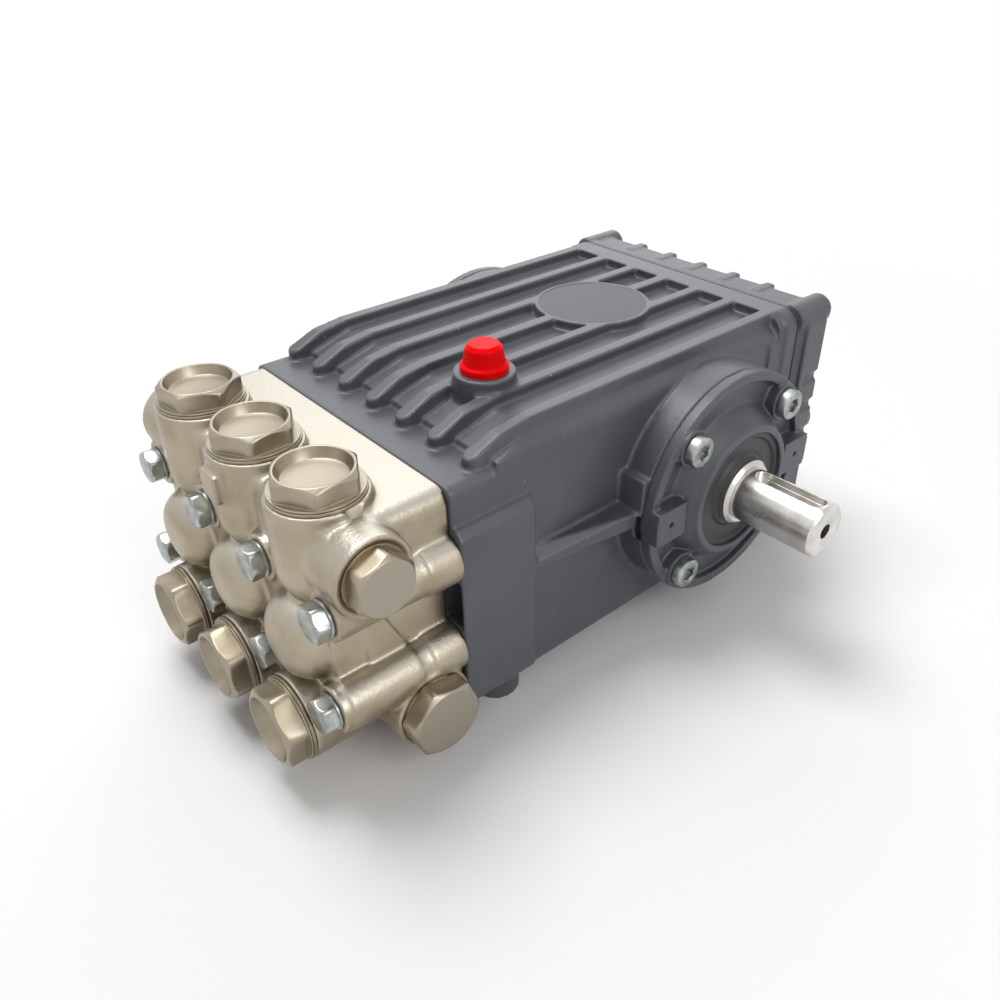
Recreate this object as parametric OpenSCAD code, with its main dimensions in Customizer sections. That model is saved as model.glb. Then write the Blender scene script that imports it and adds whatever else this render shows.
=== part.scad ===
// Three-plunger high-pressure pump: ribbed crankcase, nickel-plated brass manifold and side drive shaft.
// +X runs out along the drive shaft, +Y from the manifold to the back of the crankcase, +Z up.
// The origin lies on the floor, at the centre of the four tapped feet.

/* [Crankcase] */
// Width of the crankcase over its side walls
case_w = 139; // [135:1:145]
// Length of the crankcase from the manifold joint to the rear cover
case_l = 199.5; // [195:0.5:204]
// Height of the flat front band above the floor, level with the manifold top
deck_h = 117; // [114:1:120]
// Gap between the crankcase underside and the floor
belly_gap = 7; // [6:1:9]
// Radius of the long upper edges
shoulder_r = 9; // [6:1:11]
// Radius of the long lower edges
belly_r = 10; // [6:1:12]
// Length of the flat band between the joint and the rib noses
band_l = 12.7; // [10:0.1:14]
// Length over which the groove floor climbs from the band to its full height
ramp_l = 29; // [26:1:32]
// Height of the groove floor above the band
floor_rise = 7.5; // [6:0.5:8]
// Small step at the foot of the ramp
ramp_step = 2; // [1:0.1:2.5]
// Thickness of the flange that carries the rear cover
rear_flange = 8.5; // [6:0.5:10]
// How far the rear flange stands out from the side wall
rear_proud = 2.5; // [1:0.5:3]
// Length of the level band behind the ribs
rear_band_l = 12; // [11:0.5:14]
// Length of the side wall's first step, measured from the rear cover
side_step_l = 18; // [15:0.5:20]

/* [Ribs] */
// Number of cooling ribs along the top
rib_count = 7; // [5:2:9]
// Distance between rib centres
rib_pitch = 20.5; // [19:0.5:21.5]
// Width of a rib at its foot
rib_w = 7.6; // [7:0.2:9]
// Width of a rib at its crest
crest_w = 5.8; // [5:0.2:6.8]
// Height of a rib above the groove floor
rib_h = 4.5; // [3.5:0.5:6]
// Height of a rib nose above the front band
nose_h = 4.2; // [3.5:0.1:5]

/* [Side wall] */
// Length of the thick pad beside the manifold
pad_l = 36; // [33:1:39]
// How far the pad stands out from the side wall
pad_proud = 5; // [4:0.5:6]
// Drop of the pad's upper edge below the band
pad_drop = 16; // [14:1:20]
// Thickness of the level side rib
side_rib_t = 7; // [6:0.5:9]
// Height of the side rib's upper face above the shaft line
side_rib_rise = 5; // [4:0.5:6]
// How far the side rib stands out from the side wall at the bearing boss
side_rib_proud = 12; // [9:1:13]
// Width of the square lug where the side rib meets the bearing boss
lug_l = 6; // [5:0.5:8]
// Height of the lug above the shaft line
lug_rise = 20; // [16:1:24]
// Height of the slot for prising off the cover, beside the lug
pry_slot_h = 12; // [10:1:14]
// Depth of the slot for prising off the cover
pry_slot_d = 4; // [3:0.5:5]
// Height of the pocket in the joint face between the outer bolts
joint_pocket_h = 21; // [18:1:24]
// Depth of the pocket in the joint face
joint_pocket_d = 9; // [6:1:12]
// Width of the pocket in the joint face
joint_pocket_w = 11; // [8:1:12]
// Thickness of the pad's wall beside the pocket
joint_pocket_wall = 1.5; // [1:0.5:3]

/* [Feet] */
// Distance between foot centres across the pump
foot_span_x = 114; // [110:1:116]
// Distance between foot centres along the pump
foot_span_y = 130; // [126:1:134]
// Distance from the joint to the front feet
foot_front = 28; // [24:1:32]
// Radius of a foot
foot_r = 10.5; // [9:0.5:11]
// Radius of the tapped hole in a foot
foot_hole_r = 4.25; // [3.4:0.05:5.1]
// Depth of the tapped hole in a foot
foot_hole_l = 18; // [15:1:20]

/* [Bearing boss and cover] */
// Height of the shaft line above the floor
shaft_h = 70; // [68:1:72]
// Distance from the shaft line to the rear cover
shaft_inset = 61.1; // [59:0.1:64]
// Radius of the bearing boss and its cover
boss_r = 52; // [50:0.5:53]
// How far the bearing boss stands out from the side wall
boss_proud = 13.5; // [12:0.5:15]
// Thickness of the cover's rim
cover_t = 5; // [4:0.5:6]
// Width of the cover's raised rim
rim_w = 4.5; // [4:0.5:6]
// Depth of the sunken panel inside the rim
panel_sink = 3.5; // [1:0.5:3.5]
// Side of the square on which the cover screws lie
screw_square = 61; // [59:0.5:62]
// Radius of the lug around a cover screw
screw_lug_r = 8.5; // [8:0.5:9.5]
// Height of the screw lugs above the rim
screw_lug_rise = 2; // [1:0.5:3]
// Height of the two flats above the joint face of the boss
flat_rise = 9; // [8:0.5:10]
// Width of a flat
flat_w = 16; // [14:0.5:18]
// Length of a flat from the edge towards the hub
flat_l = 18; // [16:0.5:20]
// Radius of the small blind hole in a flat
pin_hole_r = 1.3; // [1:0.1:1.6]
// Outer radius of the cover's hub
hub_r = 31; // [30:0.5:33]
// Height of the hub above the joint face of the boss
hub_t = 12; // [11:0.5:13]
// How far the hub widens towards the panel
hub_flare = 6; // [3:0.5:7]
// Radius of the seal pocket
seal_r = 27; // [26:0.5:28]
// Width of the shaft seal
seal_w = 8; // [7:0.5:9]
// Depth of the seal below the hub face
seal_sink = 1.5; // [0.5:0.5:2]
// Radius of the cover's spigot in the crankcase
spigot_r = 36; // [34:0.5:38]
// Length of the spigot
spigot_l = 20; // [16:1:24]

/* [Shaft] */
// Radius of the drive shaft
shaft_r = 12; // [11:0.5:12.5]
// Distance of the shaft end from the pump's centre plane
shaft_reach = 136; // [133:1:140]
// Radius of the collar that runs in the seal
collar_r = 15; // [14:0.5:16]
// How far the collar stands out of the hub
collar_out = 3; // [2:0.5:4]
// Chamfer of the collar's outer end
collar_step = 1.5; // [0.5:0.5:2]
// Gap between the journal's shoulder and the seal
seal_clear = 0.5; // [0.3:0.1:1]
// Radius of the journal in the cover
journal_r = 17.5; // [17:0.5:19]
// Radial running clearance of the shaft
run_gap = 0.05; // [0.03:0.01:0.08]
// Width of the keyway
key_w = 8; // [7:0.5:8]
// Depth of the keyway
key_d = 4; // [3:0.5:4.5]
// Length of the keyway
key_l = 33; // [30:1:34]
// Distance of the keyway from the shaft end
key_back = 2.2; // [2:0.2:3]
// Chamfer of the shaft end
shaft_chamfer = 1; // [0.5:0.1:1.5]
// Radius of the tapped hole in the shaft end
end_hole_r = 3.3; // [2.1:0.1:3.4]
// Depth of the tapped hole in the shaft end
end_hole_l = 16; // [12:1:20]

/* [Manifold] */
// Distance between the plungers
plunger_pitch = 44; // [43:0.5:45]
// Depth of the manifold block from the joint to the bolt seats
block_l = 51.2; // [48:0.1:52]
// Half width of the manifold's upper block
block_half_w = 68; // [67:0.5:69]
// Half width of the manifold's waist between the bolt bosses
waist_half_w = 64; // [63:0.5:65.5]
// Height of the upper block
block_h = 30; // [27:1:32]
// Radius of the upper block's long edges
block_edge_r = 7; // [5:1:8]
// Height of the upper row of bolts above the shaft line
upper_bolt_rise = 18; // [17:0.5:19]
// Height between the two rows of bolts
bolt_rise = 41.5; // [41:0.5:43]
// How far the lower bolt seats lie in front of the upper ones
lower_seat_step = 2.3; // [1:0.1:4]
// How far the two inner lower bolt seats lie in front of the outer ones
inner_seat_step = 4.5; // [3:0.5:5]
// Radius of a bolt boss
bolt_boss_r = 9.5; // [9:0.1:9.9]
// Radius of the lobes on the joint flange
lobe_r = 10.5; // [10:0.5:11.5]
// Thickness of the joint flange
flange_l = 14; // [12:1:18]
// Distance from the joint to the valve axes
valve_back = 36; // [35:0.5:37]
// Radius of an upright valve boss
valve_boss_r = 18.5; // [18:0.5:19]
// How far the valve bosses stand above the manifold top
valve_boss_rise = 4.4; // [3:0.2:5]
// Drop of the valve bosses' rounded ends below the manifold top
valve_boss_drop = 22; // [20:1:24]
// Radius of the rounded dome in front of a plunger
dome_r = 18; // [17:0.5:18.4]
// How far a dome stands in front of the bolt seats
dome_proud = 3.8; // [3:0.1:6]
// Drop of the suction axes below the shaft line
suction_drop = 40; // [39:0.5:41]
// Radius of a suction valve boss
suction_boss_r = 17.6; // [17:0.1:18.2]
// How far the suction bosses stand in front of the upper bolt seats
suction_proud = 8.2; // [7:0.1:10]
// Distance from the joint to the suction gallery
gallery_back = 17; // [16.5:0.5:18]
// Radius of the suction gallery
gallery_r = 16.5; // [15.5:0.5:17]
// Drop of the delivery gallery below the manifold top
delivery_drop = 14.5; // [14.4:0.1:16]
// Radius of the delivery gallery's end bosses
delivery_boss_r = 15.5; // [15:0.1:15.8]
// How far the delivery end bosses stand out of the outer bolt bosses
delivery_stand = 0.5; // [0.3:0.1:3]
// How far the suction end bosses stand out of the outer flange lobes
suction_stand = 0.2; // [0.2:0.1:2]
// Width of the square pad on the middle valve boss
valve_pad_w = 11.5; // [9:0.5:12]
// How far the square pad stands out of the valve boss
valve_pad_rise = 2.2; // [1:0.2:3]
// Height of the square pad's centre above the delivery gallery
valve_pad_lift = 7.5; // [4:0.5:9]
// Thickness of the raised field on the waist behind the outer bolts
waist_field_t = 1.3; // [1:0.1:2]
// How far the raised field's back edge leans forward at its upper end
waist_field_lean = 10; // [8:0.5:12]
// Radius of the spot face around a delivery port
delivery_spot_r = 13.3; // [13:0.1:13.6]
// Depth of the spot face around a delivery port
delivery_spot_d = 1.5; // [1:0.1:2]
// Radius of the spot face around a suction port
suction_spot_r = 14.9; // [14.7:0.1:15.2]
// Depth of the spot face around a suction port
suction_spot_d = 0.7; // [0.5:0.1:0.8]
// Radius of the tapped delivery port
delivery_port_r = 9.3; // [8:0.1:10]
// Radius of the tapped suction port
suction_port_r = 12.1; // [11:0.1:12.5]
// Depth of both tapped ports
port_l = 16; // [14:1:18]

/* [Caps and plugs] */
// Width across flats of the valve caps
cap_af = 29; // [28.4:0.1:30]
// Height of a valve cap above its washer
cap_h = 8; // [7:0.2:9]
// Height of the chamfer around a cap's face
cap_chamfer = 1.4; // [1:0.1:1.8]
// Radius of the round foot of a cap
cap_foot_r = 17; // [16.8:0.1:17.2]
// Thickness of the round foot of a cap
cap_foot_t = 0.8; // [0.6:0.1:1.2]
// Radius of the recess at the mouth of a delivery cap
recess_r = 13.2; // [12:0.1:13.4]
// Radius of the recess at its floor
recess_floor_r = 11.8; // [10:0.2:12]
// Depth of the recess in a delivery cap
recess_d = 4.2; // [3:0.2:5]
// Thickness of the washer under a cap
washer_t = 1.2; // [1:0.1:1.6]
// Radius of the washer under a cap
washer_r = 17.4; // [17.2:0.1:17.8]
// Height of a suction cap in front of its washer
suction_cap_h = 9.4; // [9:0.2:11]
// Depth of the open cone in a suction cap
cone_d = 8; // [6:0.2:8.2]
// Radius of the cone at its mouth
cone_r = 13.3; // [12:0.1:13.5]
// Radius of the cone at its floor
cone_floor_r = 9.5; // [6:0.5:10]
// Width across flats of the delivery gallery plug
upper_plug_af = 21.8; // [21:0.1:22.4]
// Width across flats of the suction gallery plug
lower_plug_af = 28.2; // [27:0.1:28.4]
// Thickness of a plug's hexagon
plug_head_h = 8.2; // [6:0.2:9]
// Height of the chamfer around a plug's face
plug_chamfer = 1.5; // [1:0.1:2]
// Thickness of the sealing ring under a plug
ring_t = 1; // [1:0.1:2]
// Radius of the sealing ring under the delivery plug
delivery_ring_r = 12.3; // [11:0.1:12.8]
// Radius of the sealing ring under the suction plug
suction_ring_r = 14.5; // [14:0.1:14.6]
// Length of a plug's threaded shank
plug_shank_l = 12; // [10:1:13]

/* [Top fittings] */
// Radius of the round plate seat
badge_seat_r = 27; // [26:0.5:28]
// Radius of the round plate
badge_r = 25; // [24:0.5:25.5]
// Thickness of the round plate
badge_t = 0.8; // [0.6:0.1:1]
// Depth of the recess that holds the round plate
badge_sink = 1.2; // [1:0.1:1.5]
// Distance of the filler boss from the centre plane
filler_x = 30.7; // [30:0.1:31]
// Distance of the filler boss from the joint
filler_back = 48; // [46:0.5:50]
// Radius of the filler boss
filler_boss_r = 12.5; // [12:0.5:13]
// Height of the filler boss above the front band
filler_boss_h = 17; // [16:0.5:18]
// Radius of the filler plug's flange
filler_flange_r = 9.6; // [9:0.1:10.5]
// Height of the filler plug above its boss
filler_plug_h = 11; // [10:0.5:12]

/* [Rear cover] */
// Thickness of the rear cover
rear_cover_l = 20.5; // [19:0.5:24]
// Thickness of the rear gasket
gasket_t = 0.8; // [0.5:0.1:1]
// Radius of the screw ears on the rear cover
ear_r = 7; // [6:0.5:8]
// How far the screw ears stand out behind the rear cover
ear_proud = 3; // [1:0.5:4]
// Radius of the counterbore that sinks a screw head in its ear
ear_bore_r = 5.2; // [5:0.1:5.4]
// Depth of the counterbore in an ear
ear_bore_d = 5; // [4:0.5:6]
// Drop of the upper ears' centres below the rib crests
ear_drop = 6; // [5:0.5:8]
// Height of the lower ears' centres above the underside
ear_lift = 12; // [10:0.5:14]
// Thickness of the rear cover's flange
cover_flange_l = 4; // [3:0.5:5]
// How far the rear cover's body stands out of its flange
cover_swell = 2.5; // [1:0.5:3]
// Radius of the rear cover's upper and lower back edges
cover_edge_r = 5; // [4:0.5:9]
// How far the fins stand out of the rear cover
fin_proud = 1; // [1:0.5:3]
// Thickness of a fin
fin_w = 4.6; // [3:0.2:6]
// Radius of the level grooves in the rear cover's sides
side_groove_r = 3; // [2:0.5:4]
// Depth of the level grooves
side_groove_d = 1.6; // [1:0.2:2]
// Height between the level grooves
side_groove_pitch = 15; // [14:0.5:16]
// Height of the uppermost level groove above the shaft line
side_groove_rise = 22; // [20:0.5:24]
// Depth of the window's pocket in the rear cover
sight_pocket = 8; // [6:0.5:10]
// Width of the ring around the window
sight_ring_w = 6; // [4:0.5:8]
// How far the window's dome stands out of its pocket
sight_proud = 1.5; // [1:0.5:3]
// Height of the drain plug above the underside
drain_rise = 22; // [20:1:24]
// Radius of the oil level window
sight_r = 12; // [10:0.5:13]
// Radius of the drain plug's head
drain_r = 10; // [9:0.5:11]
// Radius of the drain plug's shank
drain_shank_r = 7; // [6:0.5:8]
// Length of the drain plug's shank
drain_shank_l = 11; // [9:0.5:12]
// Width of the ring around the drain plug
drain_ring_w = 4; // [3:0.5:5]
// Height of the drain plug's hexagon
drain_head_h = 6; // [4:0.5:8]
// Thickness of the drain plug's collar
drain_collar_t = 2; // [1:0.5:3]

/* [Hidden] */
$fn = 48;
joint_y = -(foot_front + foot_span_y / 2);
half_w = case_w / 2;
rib_top = deck_h + floor_rise + rib_h;
floor_z = deck_h + floor_rise;
shaft_y = joint_y + case_l - shaft_inset;
seam_x = half_w + boss_proud;
hub_x = seam_x + hub_t;
cover_y = joint_y + case_l + gasket_t;
eps = 0.01;
upper_bolt_z = shaft_h + upper_bolt_rise;
lower_bolt_z = upper_bolt_z - bolt_rise;
suction_z = shaft_h - suction_drop;
valve_y = joint_y - valve_back;
gallery_y = joint_y - gallery_back;
delivery_z = deck_h - delivery_drop;
joint_pocket_z = lower_bolt_z + bolt_rise / 2 - joint_pocket_h / 2;
outer_bolt_x = 1.5 * plunger_pitch;
delivery_half_l = outer_bolt_x + bolt_boss_r + delivery_stand;
suction_half_l = outer_bolt_x + lobe_r + suction_stand;
delivery_seat_x = delivery_half_l - delivery_spot_d;
suction_seat_x = suction_half_l - suction_spot_d;
seat_y = joint_y - block_l;
lower_seat_y = seat_y - lower_seat_step;
suction_seat_y = seat_y - suction_proud;
washer_z = deck_h + valve_boss_rise;
valve_pad_z = delivery_z + valve_pad_lift;
// how far each cap and plug happened to turn as it was tightened
delivery_cap_turn = [8, 31, 30];
suction_cap_turn = [6, 37, 17];
delivery_plug_turn = 52;
suction_plug_turn = 19;
spigot_gap = 0.05;
thread_gap = 0.1;
pocket_l = 42;

// Cylinder along +X from x0 to x1
module x_bar(r, x0, x1) {
    translate([x0, 0, 0])
        rotate([0, 90, 0])
            cylinder(r = r, h = x1 - x0);
}

// Cylinder along +Y from y0 to y1
module y_bar(r, y0, y1) {
    translate([0, y1, 0])
        rotate([90, 0, 0])
            cylinder(r = r, h = y1 - y0);
}

// Extrudes an outline drawn in X and Z along +Y from y0 to y1
module along_y(y0, y1) {
    translate([0, y1, 0])
        rotate([90, 0, 0])
            linear_extrude(y1 - y0)
                children();
}

// Extrudes an outline drawn in Y and Z along +X from x0 to x1
module along_x(x0, x1) {
    translate([x0, 0, 0])
        rotate([90, 0, 90])
            linear_extrude(x1 - x0)
                children();
}

// Rectangle with its own radius for the lower and the upper corners
module soft_rect(half, z0, z1, r_low, r_top) {
    translate([-half + r_low, z0])
        square([2 * (half - r_low), z1 - z0]);
    translate([-half, z0 + r_low])
        square([2 * half, z1 - z0 - r_low - r_top]);
    translate([-half + r_top, z1 - 2 * r_top])
        square([2 * (half - r_top), 2 * r_top]);
    for (s = [-1, 1]) {
        translate([s * (half - r_low), z0 + r_low])
            circle(r_low);
        translate([s * (half - r_top), z1 - r_top])
            circle(r_top);
    }
}

// Both sides of the pump
module both_sides() {
    children();
    mirror([1, 0, 0])
        children();
}

// Hexagon along +Z with both or one rim chamfered to a circle
module hex_prism(af, h, chamfer) {
    corner_r = af / sqrt(3);
    intersection() {
        cylinder(r = corner_r, h = h, $fn = 6);
        union() {
            cylinder(r = corner_r + eps, h = h - chamfer);
            translate([0, 0, h - chamfer - eps])
                cylinder(r1 = corner_r, r2 = af * 0.49, h = chamfer + eps);
        }
    }
}

// Side outline of the upper part of the case, from the ramp to the back
module ramp_outline(base, rise) {
    y0 = joint_y + band_l + 9;
    polygon([
        [y0, base - 5],
        [y0, base + ramp_step],
        [joint_y + band_l + ramp_l, base + rise],
        [joint_y + case_l, base + rise],
        [joint_y + case_l, base - 5]
    ]);
}

// Main casting without its bores
module case_body() {
    flange_y = joint_y + case_l - rear_flange;
    // lower body up to the band
    along_y(joint_y, joint_y + case_l)
        soft_rect(half_w, belly_gap, deck_h, belly_r, shoulder_r / 2);
    // climbing groove floor
    intersection() {
        along_y(joint_y, joint_y + case_l)
            soft_rect(half_w, belly_gap, floor_z, belly_r, shoulder_r);
        along_x(-half_w, half_w)
            ramp_outline(deck_h, floor_rise);
    }
    // rear flange, the band in front of it and the first step of the side wall
    along_y(flange_y, joint_y + case_l)
        soft_rect(half_w + rear_proud, belly_gap, rib_top, belly_r, shoulder_r);
    along_y(joint_y + case_l - rear_band_l, flange_y + eps)
        soft_rect(half_w + rear_proud / 2, belly_gap, rib_top, belly_r, shoulder_r);
    along_y(joint_y + case_l - side_step_l, flange_y + eps)
        soft_rect(half_w + rear_proud / 2, belly_gap, floor_z - 1, belly_r, shoulder_r);
}

// One cooling rib with a rounded nose
module cooling_rib() {
    y0 = joint_y + band_l;
    y1 = joint_y + case_l - eps;
    intersection() {
        along_y(y0, y1)
            polygon([
                [-rib_w / 2, deck_h - 1], [rib_w / 2, deck_h - 1], [rib_w / 2, deck_h + nose_h - 1],
                [crest_w / 2, rib_top], [-crest_w / 2, rib_top], [-rib_w / 2, deck_h + nose_h - 1]
            ]);
        along_x(-rib_w, rib_w)
            polygon([
                [y0, deck_h - 1], [y0, deck_h + nose_h], [y0 + ramp_l / 2, deck_h + nose_h + rib_h + 1.5],
                [y0 + ramp_l, rib_top], [y1, rib_top], [y1, deck_h - 1]
            ]);
        union() {
            translate([0, y0 + rib_w / 2, deck_h - 1])
                cylinder(r = rib_w / 2, h = rib_top - deck_h + 2);
            translate([-rib_w / 2, y0 + rib_w / 2, deck_h - 1])
                cube([rib_w, y1 - y0, rib_top - deck_h + 2]);
        }
    }
}

module case_ribs() {
    for (k = [0 : rib_count - 1])
        translate([(k - (rib_count - 1) / 2) * rib_pitch, 0, 0])
            cooling_rib();
}

// Pad, side rib, lug and bearing boss on the +X side
module case_side() {
    rib_z = shaft_h + side_rib_rise;
    lug_y = shaft_y - boss_r;
    // pad beside the manifold
    along_y(joint_y, joint_y + pad_l)
        translate([half_w, 0])
            polygon([
                [-5, belly_gap + belly_r], [pad_proud - 1, belly_gap + belly_r],
                [pad_proud, belly_gap + belly_r + 2], [pad_proud, deck_h - pad_drop - 4],
                [pad_proud - 3, deck_h - pad_drop], [-5, deck_h - pad_drop + 2]
            ]);
    // level rib, which grows out of the pad's back edge
    hull() {
        along_y(joint_y + pad_l - 1, joint_y + pad_l)
            polygon([
                [half_w - 1, rib_z], [half_w + pad_proud - 0.5, rib_z - pad_proud],
                [half_w + pad_proud - 0.5, rib_z - pad_proud - side_rib_t / 2], [half_w - 1, rib_z - side_rib_t - 2]
            ]);
        along_y(lug_y, lug_y + 1)
            polygon([
                [half_w - 1, rib_z], [half_w + side_rib_proud, rib_z],
                [half_w + side_rib_proud, rib_z - side_rib_t], [half_w - 1, rib_z - side_rib_t - 1]
            ]);
    }
    // lug against the boss
    translate([half_w - 1, lug_y, rib_z - side_rib_t])
        cube([boss_proud + 1, lug_l, shaft_h + lug_rise - rib_z + side_rib_t]);
    // bearing boss
    translate([0, shaft_y, shaft_h])
        x_bar(boss_r, half_w - 1, seam_x);
}

module foot_positions() {
    for (sx = [-1, 1], sy = [-1, 1])
        translate([sx * foot_span_x / 2, sy * foot_span_y / 2, 0])
            children();
}

module crankcase() {
    color("#4d535c")
    difference() {
        union() {
            case_body();
            case_ribs();
            both_sides()
                case_side();
            foot_positions()
                cylinder(r = foot_r, h = belly_gap + belly_r);
            translate([0, shaft_y, deck_h - 1])
                cylinder(r = badge_seat_r, h = rib_top - deck_h + 1);
            translate([filler_x, joint_y + filler_back, deck_h - 1])
                cylinder(r = filler_boss_r, h = filler_boss_h + 1);
        }
        foot_positions()
            translate([0, 0, -1])
                cylinder(r = foot_hole_r, h = foot_hole_l + 1);
        translate([0, shaft_y, rib_top - badge_sink])
            cylinder(r = badge_r + spigot_gap, h = badge_sink + 1);
        translate([filler_x, joint_y + filler_back, deck_h + filler_boss_h - 10])
            cylinder(r = filler_flange_r * 0.7 + thread_gap, h = 11);
        translate([0, shaft_y, shaft_h])
            x_bar(spigot_r, seam_x - pocket_l, seam_x + 1);
        both_sides() {
            // slot for prising off the cover
            translate([seam_x - pry_slot_d, shaft_y - boss_r - 1, shaft_h - side_rib_t - 2])
                cube([pry_slot_d + 1, lug_l, pry_slot_h]);
            // pocket in the joint face, open beside the manifold's waist
            translate([half_w + pad_proud - joint_pocket_wall - joint_pocket_w, joint_y - 1, joint_pocket_z])
                cube([joint_pocket_w, joint_pocket_d + 1, joint_pocket_h]);
        }
    }
}

// Outline of the rear cover and its gasket
module rear_outline() {
    soft_rect(half_w + rear_proud, belly_gap, rib_top, belly_r, shoulder_r);
}

module rear_gasket() {
    color("#1d1d1f")
        along_y(joint_y + case_l, cover_y)
            rear_outline();
}

// Places of the screw ears on the rear cover: two at the top, two half way and two below
function ear_places() = [
    for (s = [-1, 1])
        for (z = [belly_gap + ear_lift, shaft_h - 4, rib_top - ear_drop])
            [s * (half_w - 3), z]
];

// Side outline of the rear cover's body, rounded at its upper and lower back edges
module cover_side_outline(y0, y1, z0, z1) {
    translate([y0, z0])
        square([y1 - cover_edge_r - y0, z1 - z0]);
    translate([y0, z0 + cover_edge_r])
        square([y1 - y0, z1 - z0 - 2 * cover_edge_r]);
    for (z = [z0 + cover_edge_r, z1 - cover_edge_r])
        translate([y1 - cover_edge_r, z])
            circle(cover_edge_r);
}

module rear_cover() {
    body_y = cover_y + cover_flange_l;
    back_y = cover_y + rear_cover_l;
    body_half_w = half_w + rear_proud + cover_swell;
    body_low_z = belly_gap + 1;
    body_top_z = rib_top - 0.6;
    groove_top_z = shaft_h + side_groove_rise;
    color("#4d535c")
    difference() {
        union() {
            along_y(cover_y, body_y)
                rear_outline();
            intersection() {
                along_y(body_y - eps, back_y - fin_proud)
                    soft_rect(body_half_w, body_low_z, body_top_z, belly_r, shoulder_r);
                along_x(-body_half_w - 1, body_half_w + 1)
                    cover_side_outline(body_y - 1, back_y - fin_proud, body_low_z, body_top_z);
            }
            for (p = ear_places())
                translate([p[0], 0, p[1]])
                    y_bar(ear_r, cover_y, back_y + ear_proud);
            // upright fins, square where the body's edge is round
            for (k = [1 : rib_count - 2])
                translate([(k - (rib_count - 1) / 2) * rib_pitch, 0, 0])
                    along_x(-fin_w / 2, fin_w / 2)
                        polygon([
                            [body_y + 2, body_low_z + 3], [back_y - 3, body_low_z + 3], [back_y, body_low_z + 8],
                            [back_y, rib_top - 1.5], [back_y - 1, rib_top], [body_y + 3, rib_top],
                            [body_y + 2, rib_top - 1]
                        ]);
            // window and drain bosses
            translate([0, 0, shaft_h])
                y_bar(sight_r + sight_ring_w, body_y, back_y);
            translate([0, 0, belly_gap + drain_rise])
                y_bar(drain_r + drain_ring_w, body_y, back_y);
        }
        // counterbores of the ears
        for (p = ear_places())
            translate([p[0], 0, p[1]])
                y_bar(ear_bore_r, back_y + ear_proud - ear_bore_d, back_y + ear_proud + 1);
        // level grooves in both sides
        for (s = [-1, 1], k = [0 : 3])
            translate([s * (body_half_w + side_groove_r - side_groove_d), 0, groove_top_z - k * side_groove_pitch])
                y_bar(side_groove_r, body_y + 3, back_y);
        translate([0, 0, shaft_h])
            y_bar(sight_r, back_y - sight_pocket, back_y + 1);
        translate([0, 0, belly_gap + drain_rise])
            y_bar(drain_shank_r + thread_gap, back_y - drain_shank_l - 1, back_y + 1);
    }
}

module oil_sight_glass() {
    back_y = cover_y + rear_cover_l;
    color("#c8b060")
        translate([0, back_y - sight_pocket + spigot_gap, shaft_h])
            rotate([-90, 0, 0])
                rotate_extrude()
                    polygon([
                        [0, 0], [sight_r - spigot_gap, 0], [sight_r - spigot_gap, sight_pocket],
                        [sight_r - spigot_gap - sight_proud, sight_pocket + sight_proud], [0, sight_pocket + sight_proud]
                    ]);
}

module drain_plug() {
    color("#b9bcc0")
    translate([0, cover_y + rear_cover_l, belly_gap + drain_rise])
        rotate([-90, 0, 0]) {
            cylinder(r = drain_r, h = drain_collar_t);
            translate([0, 0, drain_collar_t - eps])
                hex_prism(drain_r * 1.5, drain_head_h, 1);
            translate([0, 0, -drain_shank_l])
                cylinder(r = drain_shank_r, h = drain_shank_l + eps);
        }
}

module badge_plate() {
    color("#3c4048")
        translate([0, shaft_y, rib_top - badge_sink])
            cylinder(r = badge_r, h = badge_t);
}

module oil_filler_plug() {
    top_r = filler_flange_r * 0.72;
    color("#e0141c")
    translate([filler_x, joint_y + filler_back, deck_h + filler_boss_h]) {
        rotate_extrude()
            polygon([
                [0, 0], [filler_flange_r, 0], [filler_flange_r, 2.4], [filler_flange_r - 1.2, 3.4],
                [top_r + 1.4, 4], [top_r + 0.4, filler_plug_h - 1.6], [top_r - 1, filler_plug_h], [0, filler_plug_h]
            ]);
        translate([0, 0, -9])
            cylinder(r = filler_flange_r * 0.7, h = 9 + eps);
    }
}

module cover_screw_places() {
    for (sy = [-1, 1], sz = [-1, 1])
        translate([0, sy * screw_square / 2, sz * screw_square / 2])
            children();
}

// Face plate shared by both bearing covers: rim, sunken panel, four lugs and two flats
module cover_plate() {
    difference() {
        x_bar(boss_r, 0, cover_t);
        x_bar(boss_r - rim_w, cover_t - panel_sink, cover_t + 1);
    }
    cover_screw_places()
        x_bar(screw_lug_r, 0, cover_t + screw_lug_rise);
    difference() {
        intersection() {
            x_bar(boss_r - eps, 0, flat_rise);
            for (s = [-1, 1])
                translate([0, s * (boss_r - flat_l / 2) - flat_l / 2, -flat_w / 2])
                    cube([flat_rise, flat_l, flat_w]);
        }
        for (s = [-1, 1])
            translate([0, s * screw_square / sqrt(2), 0])
                x_bar(pin_hole_r, cover_t - 1, flat_rise + 1);
    }
}

module drive_bearing_cover() {
    color("#4d535c")
    translate([seam_x, shaft_y, shaft_h])
        difference() {
            union() {
                cover_plate();
                rotate([0, 90, 0])
                    rotate_extrude()
                        polygon([
                            [0, 0], [hub_r + hub_flare, 0], [hub_r + hub_flare, cover_t - panel_sink],
                            [hub_r, hub_t - 2], [hub_r - 1, hub_t], [0, hub_t]
                        ]);
                x_bar(spigot_r - spigot_gap, -spigot_l, eps);
            }
            x_bar(journal_r + run_gap, -spigot_l - 1, hub_t + 1);
            x_bar(seal_r, hub_t - seal_sink - seal_w, hub_t + 1);
        }
}

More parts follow.
